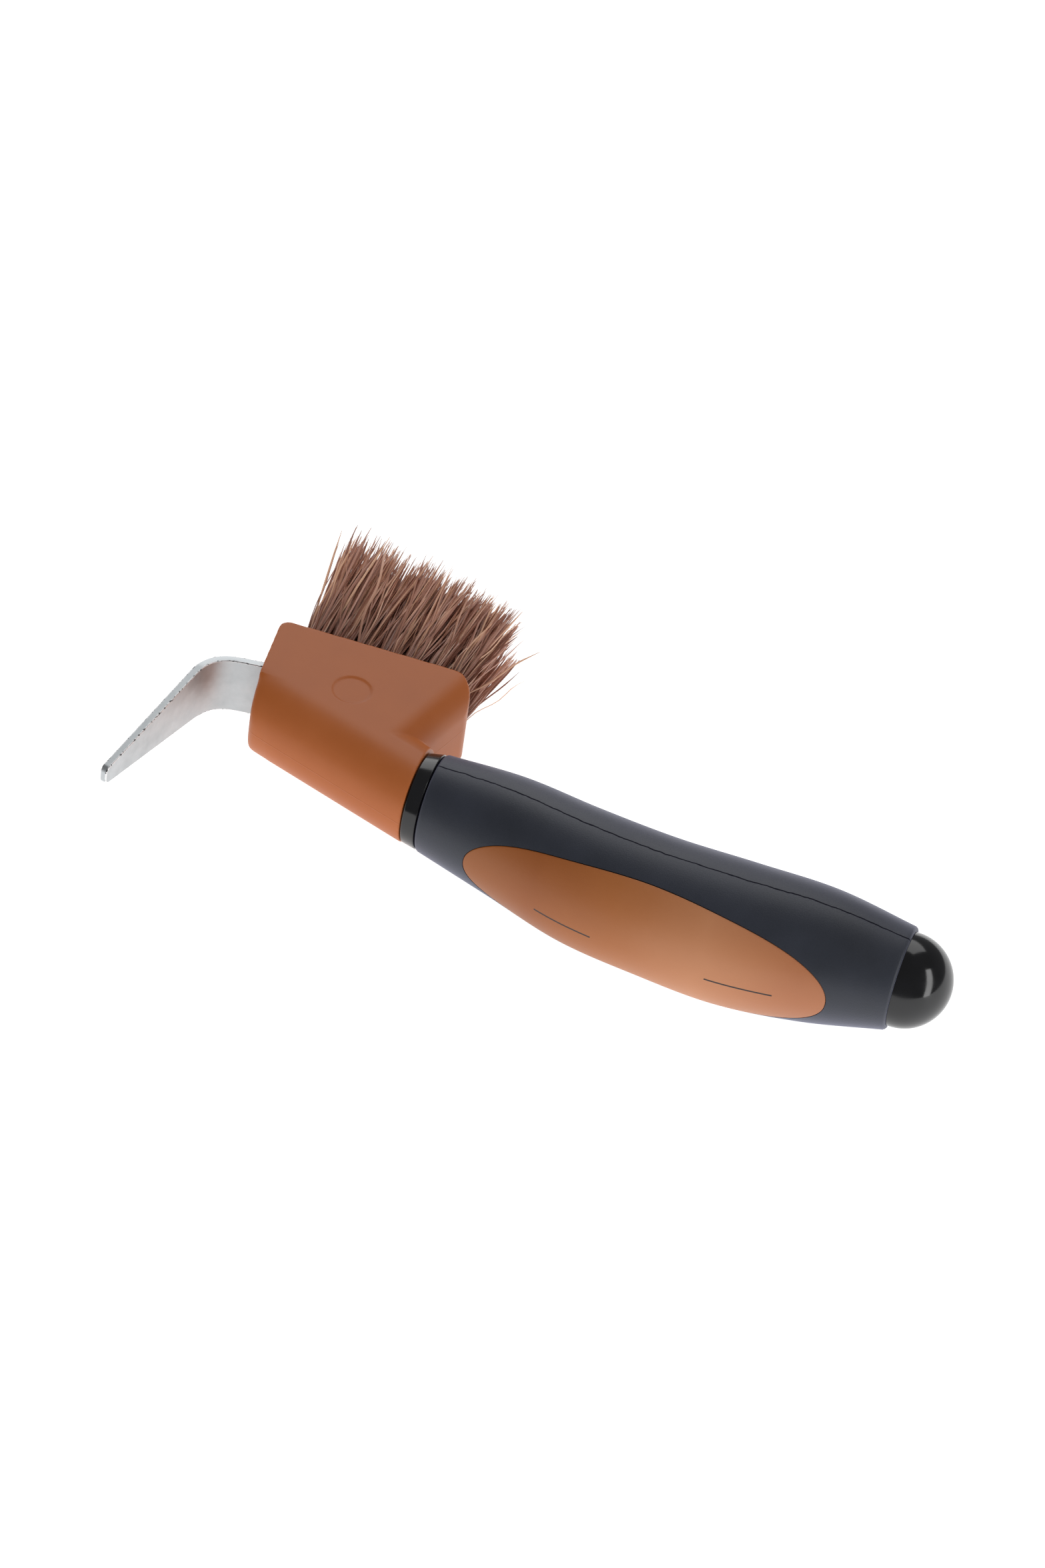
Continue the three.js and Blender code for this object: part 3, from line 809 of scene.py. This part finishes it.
TUFT_PITCH = 6.1
ROW_SPACING = 6.3
TUFT_ROWS = [("lower", -ROW_SPACING, 7), ("middle", 0, 6), ("upper", ROW_SPACING, 7)]
BRUSH_CENTRE = -26.4
LEAN_BACK = 0.04
FAN_BACK = 0.07
ROW_FAN_BACK = 0.025
LEAN_UP = 0.08
ROW_FAN_UP = 0.05
FILAMENTS = 105
FILAMENT_STEPS = 11
FILAMENT_HALF_WIDTH = 0.3
FILAMENT_HALF_THICKNESS = 0.15
FILAMENT_LEAN = 2
FILAMENT_BOW = 0.8
FILAMENT_WAVE = 0.28
ROOT_RADIUS = 2.3
ROOT_DEPTH = 1.5
FLARE = 0.4
SHORT_SHARE = 0.15
STRAY_SHARE = 0.06
STRAY_LEAN = 2.3
LONGEST = 36.6
TRIM_SLOPE = 2.6
TRIM_CURVE = 4.6
TRIM_ACROSS = 0.25
UPPER_LIMIT = 15.9
TIP_LIMIT = 71.4


def tuft_place(along, z):
    """Where a tuft comes out of the brush face, with its own Y along the filaments."""
    face = (FACE_REAR - FACE_FRONT).normalized()
    x = BRUSH_CENTRE + along
    y = FACE_FRONT.y + (x - FACE_FRONT.x) * face.y / face.x
    side = z / ROW_SPACING
    back = LEAN_BACK + FAN_BACK * along / (3 * TUFT_PITCH) + ROW_FAN_BACK * side
    lean = Vector((back, face.x, LEAN_UP + ROW_FAN_UP * side))
    turn = Vector((0, 1, 0)).rotation_difference(lean.normalized())
    return Matrix.Translation((x, y, z)) @ turn.to_matrix().to_4x4()


def filament_blank():
    """A straight four-sided filament one unit long, along Y."""
    shape = bmesh.new()
    bmesh.ops.create_circle(shape, cap_ends=True, segments=4, radius=1)
    bmesh.ops.rotate(shape, verts=shape.verts, matrix=Matrix.Rotation(-math.pi / 2, 3, "X"))
    cap = shape.faces[:][0]
    cap = pushed(shape, cap, Vector((0, 1, 0)), FILAMENT_STEPS)
    bmesh.ops.recalc_face_normals(shape, faces=shape.faces)
    mesh = bpy.data.meshes.new("filament")
    shape.to_mesh(mesh)
    shape.free()
    return mesh


filament = filament_blank()


def trimmed_length(along, z):
    """Bristle length of a tuft: trimmed shorter towards the handle, most of all in the upper row."""
    share = 0.5 + along / (6 * TUFT_PITCH)
    return LONGEST - TRIM_SLOPE * share - (TRIM_CURVE + TRIM_ACROSS * z) * share * share


def tuft(chance, along, z):
    """One tuft: each filament has its own root, length, lean, bow, waves, twist and shade."""
    shape = bmesh.new()
    tint = shape.verts.layers.float.new("tint")
    reach = shape.verts.layers.float.new("reach")
    for k in range(FILAMENTS):
        first = len(shape.verts)
        shape.from_mesh(filament)
        shape.verts.ensure_lookup_table()
        spin = chance.uniform(0, math.tau)
        away = math.sqrt(chance.random()) * ROOT_RADIUS
        root = Vector((away * math.cos(spin), 0, away * math.sin(spin)))
        length = trimmed_length(along, z) * min(chance.gauss(0.985, 0.03), 1.03)
        if chance.random() < SHORT_SHARE:
            length *= chance.uniform(0.75, 0.95)
        stray = STRAY_LEAN if chance.random() < STRAY_SHARE else 1
        lean = Vector((chance.gauss(0, 1), 0, chance.gauss(0, 0.7))) * FILAMENT_LEAN * stray + root * FLARE
        bow = Vector((chance.gauss(0, 1), 0, chance.gauss(0, 0.7))) * FILAMENT_BOW
        wave = Vector((chance.gauss(0, 1), 0, chance.gauss(0, 1))) * FILAMENT_WAVE
        phase = chance.uniform(0, math.tau)
        waves = chance.uniform(0.8, 2)
        flat = chance.uniform(0, math.tau)
        size = chance.uniform(0.75, 1.15)
        shade = chance.random()
        wide = Vector((math.cos(flat), 0, math.sin(flat))) * FILAMENT_HALF_WIDTH * size
        thin = Vector((-math.sin(flat), 0, math.cos(flat))) * FILAMENT_HALF_THICKNESS * size
        for vert in shape.verts[first:]:
            t = vert.co.y
            taper = 1 - 0.8 * eased_step(t, 0.8, 1)
            middle = root + lean * t + bow * t * t * (2 - t)
            middle += wave * (math.sin(phase + math.tau * waves * t) - math.sin(phase))
            spread = (wide * vert.co.x + thin * vert.co.z) * taper
            vert.co = middle + spread + Vector((0, -ROOT_DEPTH + t * (length + ROOT_DEPTH), 0))
            vert[tint] = shade
            vert[reach] = t
    bmesh.ops.transform(shape, matrix=tuft_place(along, z), verts=shape.verts)
    for vert in shape.verts:
        over = vert.co.z - UPPER_LIMIT
        if over > 0:
            vert.co.z -= over * over / (over + 1)
        vert.co.y = min(vert.co.y, TIP_LIMIT)
    return shape


def crimped_filament():
    # Extruded polypropylene filament: slightly waxy, each end its own shade of brown, and coloured darker
    # down towards the roots as painted shade deep in the tuft, leaving the trimmed ends paler.
    material, tree, shader = new_material("crimped_polypropylene_filament", {
        "Roughness": 0.42, "IOR": 1.49,
    })
    place = add_node(tree, "TexCoord", {}, {}).outputs["Object"]
    tint = add_node(tree, "Attribute", {"attribute_name": "tint"}, {}).outputs["Fac"]
    reach = add_node(tree, "Attribute", {"attribute_name": "reach"}, {}).outputs["Fac"]
    body = shade_steps(tree, tint, [(0, "#95604c"), (0.5, "#cf9a84"), (1, "#f6c5a2")])
    depth = add_node(tree, "MapRange", {}, {
        "Value": reach, "From Min": 0.05, "From Max": 0.6, "To Min": 0.7, "To Max": 0,
    })
    # Painted shade: the lower part of each filament is mixed towards a dark brown.
    painted_root_shade = add_node(tree, "Mix", {"data_type": "RGBA"}, {
        0: depth.outputs["Result"], 6: body, 7: srgb("#6f4233"),
    })
    streak = add_node(tree, "TexNoise", {}, {"Vector": place, "Scale": 700, "Detail": 2})
    bump = add_node(tree, "Bump", {}, {
        "Height": streak.outputs["Fac"], "Strength": 0.3, "Distance": 0.0001,
    })
    tree.links.new(painted_root_shade.outputs[2], shader.inputs["Base Color"])
    tree.links.new(bump.outputs["Normal"], shader.inputs["Normal"])
    return material


bristle_finish = crimped_filament()
chance = random.Random(7)
for row, row_z, count in TUFT_ROWS:
    for index in range(count):
        along = (index - (count - 1) / 2) * TUFT_PITCH
        finished_piece(
            f"bristles_{row}_{index + 1}", tuft(chance, along, row_z), [bristle_finish],
            "bristle", f"tuft_{row}_{index + 1}",
        )


# ---- Staples ----
# Flat galvanised wire driven over each tuft's fold at the bottom of its hole. They are out of
# sight in the head, and keep their modelled shape.


def galvanised_wire():
    # Zinc on drawn wire: dull and faintly spangled
    material, tree, shader = new_material("galvanised_drawn_wire", {"Metallic": 1})
    place = add_node(tree, "TexCoord", {}, {}).outputs["Object"]
    spangle = add_node(tree, "TexNoise", {}, {"Vector": place, "Scale": 900, "Detail": 2})
    tint = shade_steps(tree, spangle.outputs["Fac"], [(0.35, "#9a9c9e"), (0.65, "#bfc1c3")])
    rough = add_node(tree, "MapRange", {}, {
        "Value": spangle.outputs["Fac"], "To Min": 0.35, "To Max": 0.55,
    })
    tree.links.new(tint, shader.inputs["Base Color"])
    tree.links.new(rough.outputs["Result"], shader.inputs["Roughness"])
    return material


wire = galvanised_wire()
for row, _, count in TUFT_ROWS:
    for index in range(count):
        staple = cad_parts[f"anchor_{row}_{index + 1}"]
        staple.data.materials.clear()
        staple.data.materials.append(wire)


# ---- Studio ----
# A white acrylic light table with three soft boxes: a broad one behind, a tall narrow one on the
# right, and one on the left that lights without being mirrored.

AZIMUTH = math.radians(15.105)
ELEVATION = math.radians(42.295)
ROLL = math.radians(7.92)
CAMERA_DISTANCE = 1.3
LENS = 124.36
AIM_RIGHT = 21.7
AIM_UP = 4.6
BOX_DISTANCE = 0.9
BOX_TARGET = Vector((30, 5, 0))

toward = Vector((
    math.sin(AZIMUTH) * math.cos(ELEVATION),
    -math.cos(AZIMUTH) * math.cos(ELEVATION),
    math.sin(ELEVATION),
))
level = Vector((math.cos(AZIMUTH), math.sin(AZIMUTH), 0))
image_right = level * math.cos(ROLL) + toward.cross(level) * math.sin(ROLL)
image_up = toward.cross(image_right)
aim = NECK + (image_right * AIM_RIGHT + image_up * AIM_UP) * MM


def looking(place, target, up):
    """Matrix of a camera or lamp at a place, facing a target."""
    back = (place - target).normalized()
    right = up.cross(back).normalized()
    turn = Matrix((right, back.cross(right), back)).transposed().to_4x4()
    return Matrix.Translation(place) @ turn


camera = bpy.data.objects.new("camera", bpy.data.cameras.new("camera"))
camera.data.lens = LENS
camera.data.sensor_width = 36
camera.data.clip_start = 0.01
camera.matrix_world = looking(NECK + toward * CAMERA_DISTANCE, aim, image_up)
bpy.context.scene.collection.objects.link(camera)
bpy.context.scene.camera = camera

table_shape = bmesh.new()
bmesh.ops.create_grid(table_shape, x_segments=1, y_segments=1, size=3)
table_mesh = bpy.data.meshes.new("light_table")
table_shape.to_mesh(table_mesh)
table_shape.free()
acrylic, _, _ = new_material("white_frosted_acrylic", {
    "Base Color": srgb("#b8b8b8"), "Roughness": 0.6,
    "Emission Color": srgb("#ffffff"), "Emission Strength": 0.98,
})
table_mesh.materials.append(acrylic)
table = bpy.data.objects.new("light_table", table_mesh)
bpy.context.scene.collection.objects.link(table)


def soft_box(name, direction, size, power):
    """A rectangular lamp in a direction from the tool, facing its middle."""
    lamp = bpy.data.lights.new(name, "AREA")
    lamp.shape = "RECTANGLE"
    lamp.size, lamp.size_y = size
    lamp.energy = power
    box = bpy.data.objects.new(name, lamp)
    middle = NECK + BOX_TARGET * MM
    box.matrix_world = looking(middle + direction.normalized() * BOX_DISTANCE, middle, image_up)
    bpy.context.scene.collection.objects.link(box)
    return box


soft_box("back_box", image_up * 0.95 - toward * 0.12 + image_right * 0.1, (1.2, 0.6), 4)
soft_box("right_box", image_right * 0.85 - image_up * 0.15 + toward * 0.55, (0.22, 0.9), 2.6)
front = soft_box("front_box", image_right * -0.7 - image_up * 0.2 + toward * 0.8, (0.7, 0.9), 2.6)
front.visible_glossy = False

world = bpy.data.worlds.new("white_room")
world.use_nodes = True
room = world.node_tree.nodes["Background"]
room.inputs["Color"].default_value = srgb("#f4f5f7")
room.inputs["Strength"].default_value = 0.2
bpy.context.scene.world = world
bpy.context.scene.view_settings.view_transform = "Standard"
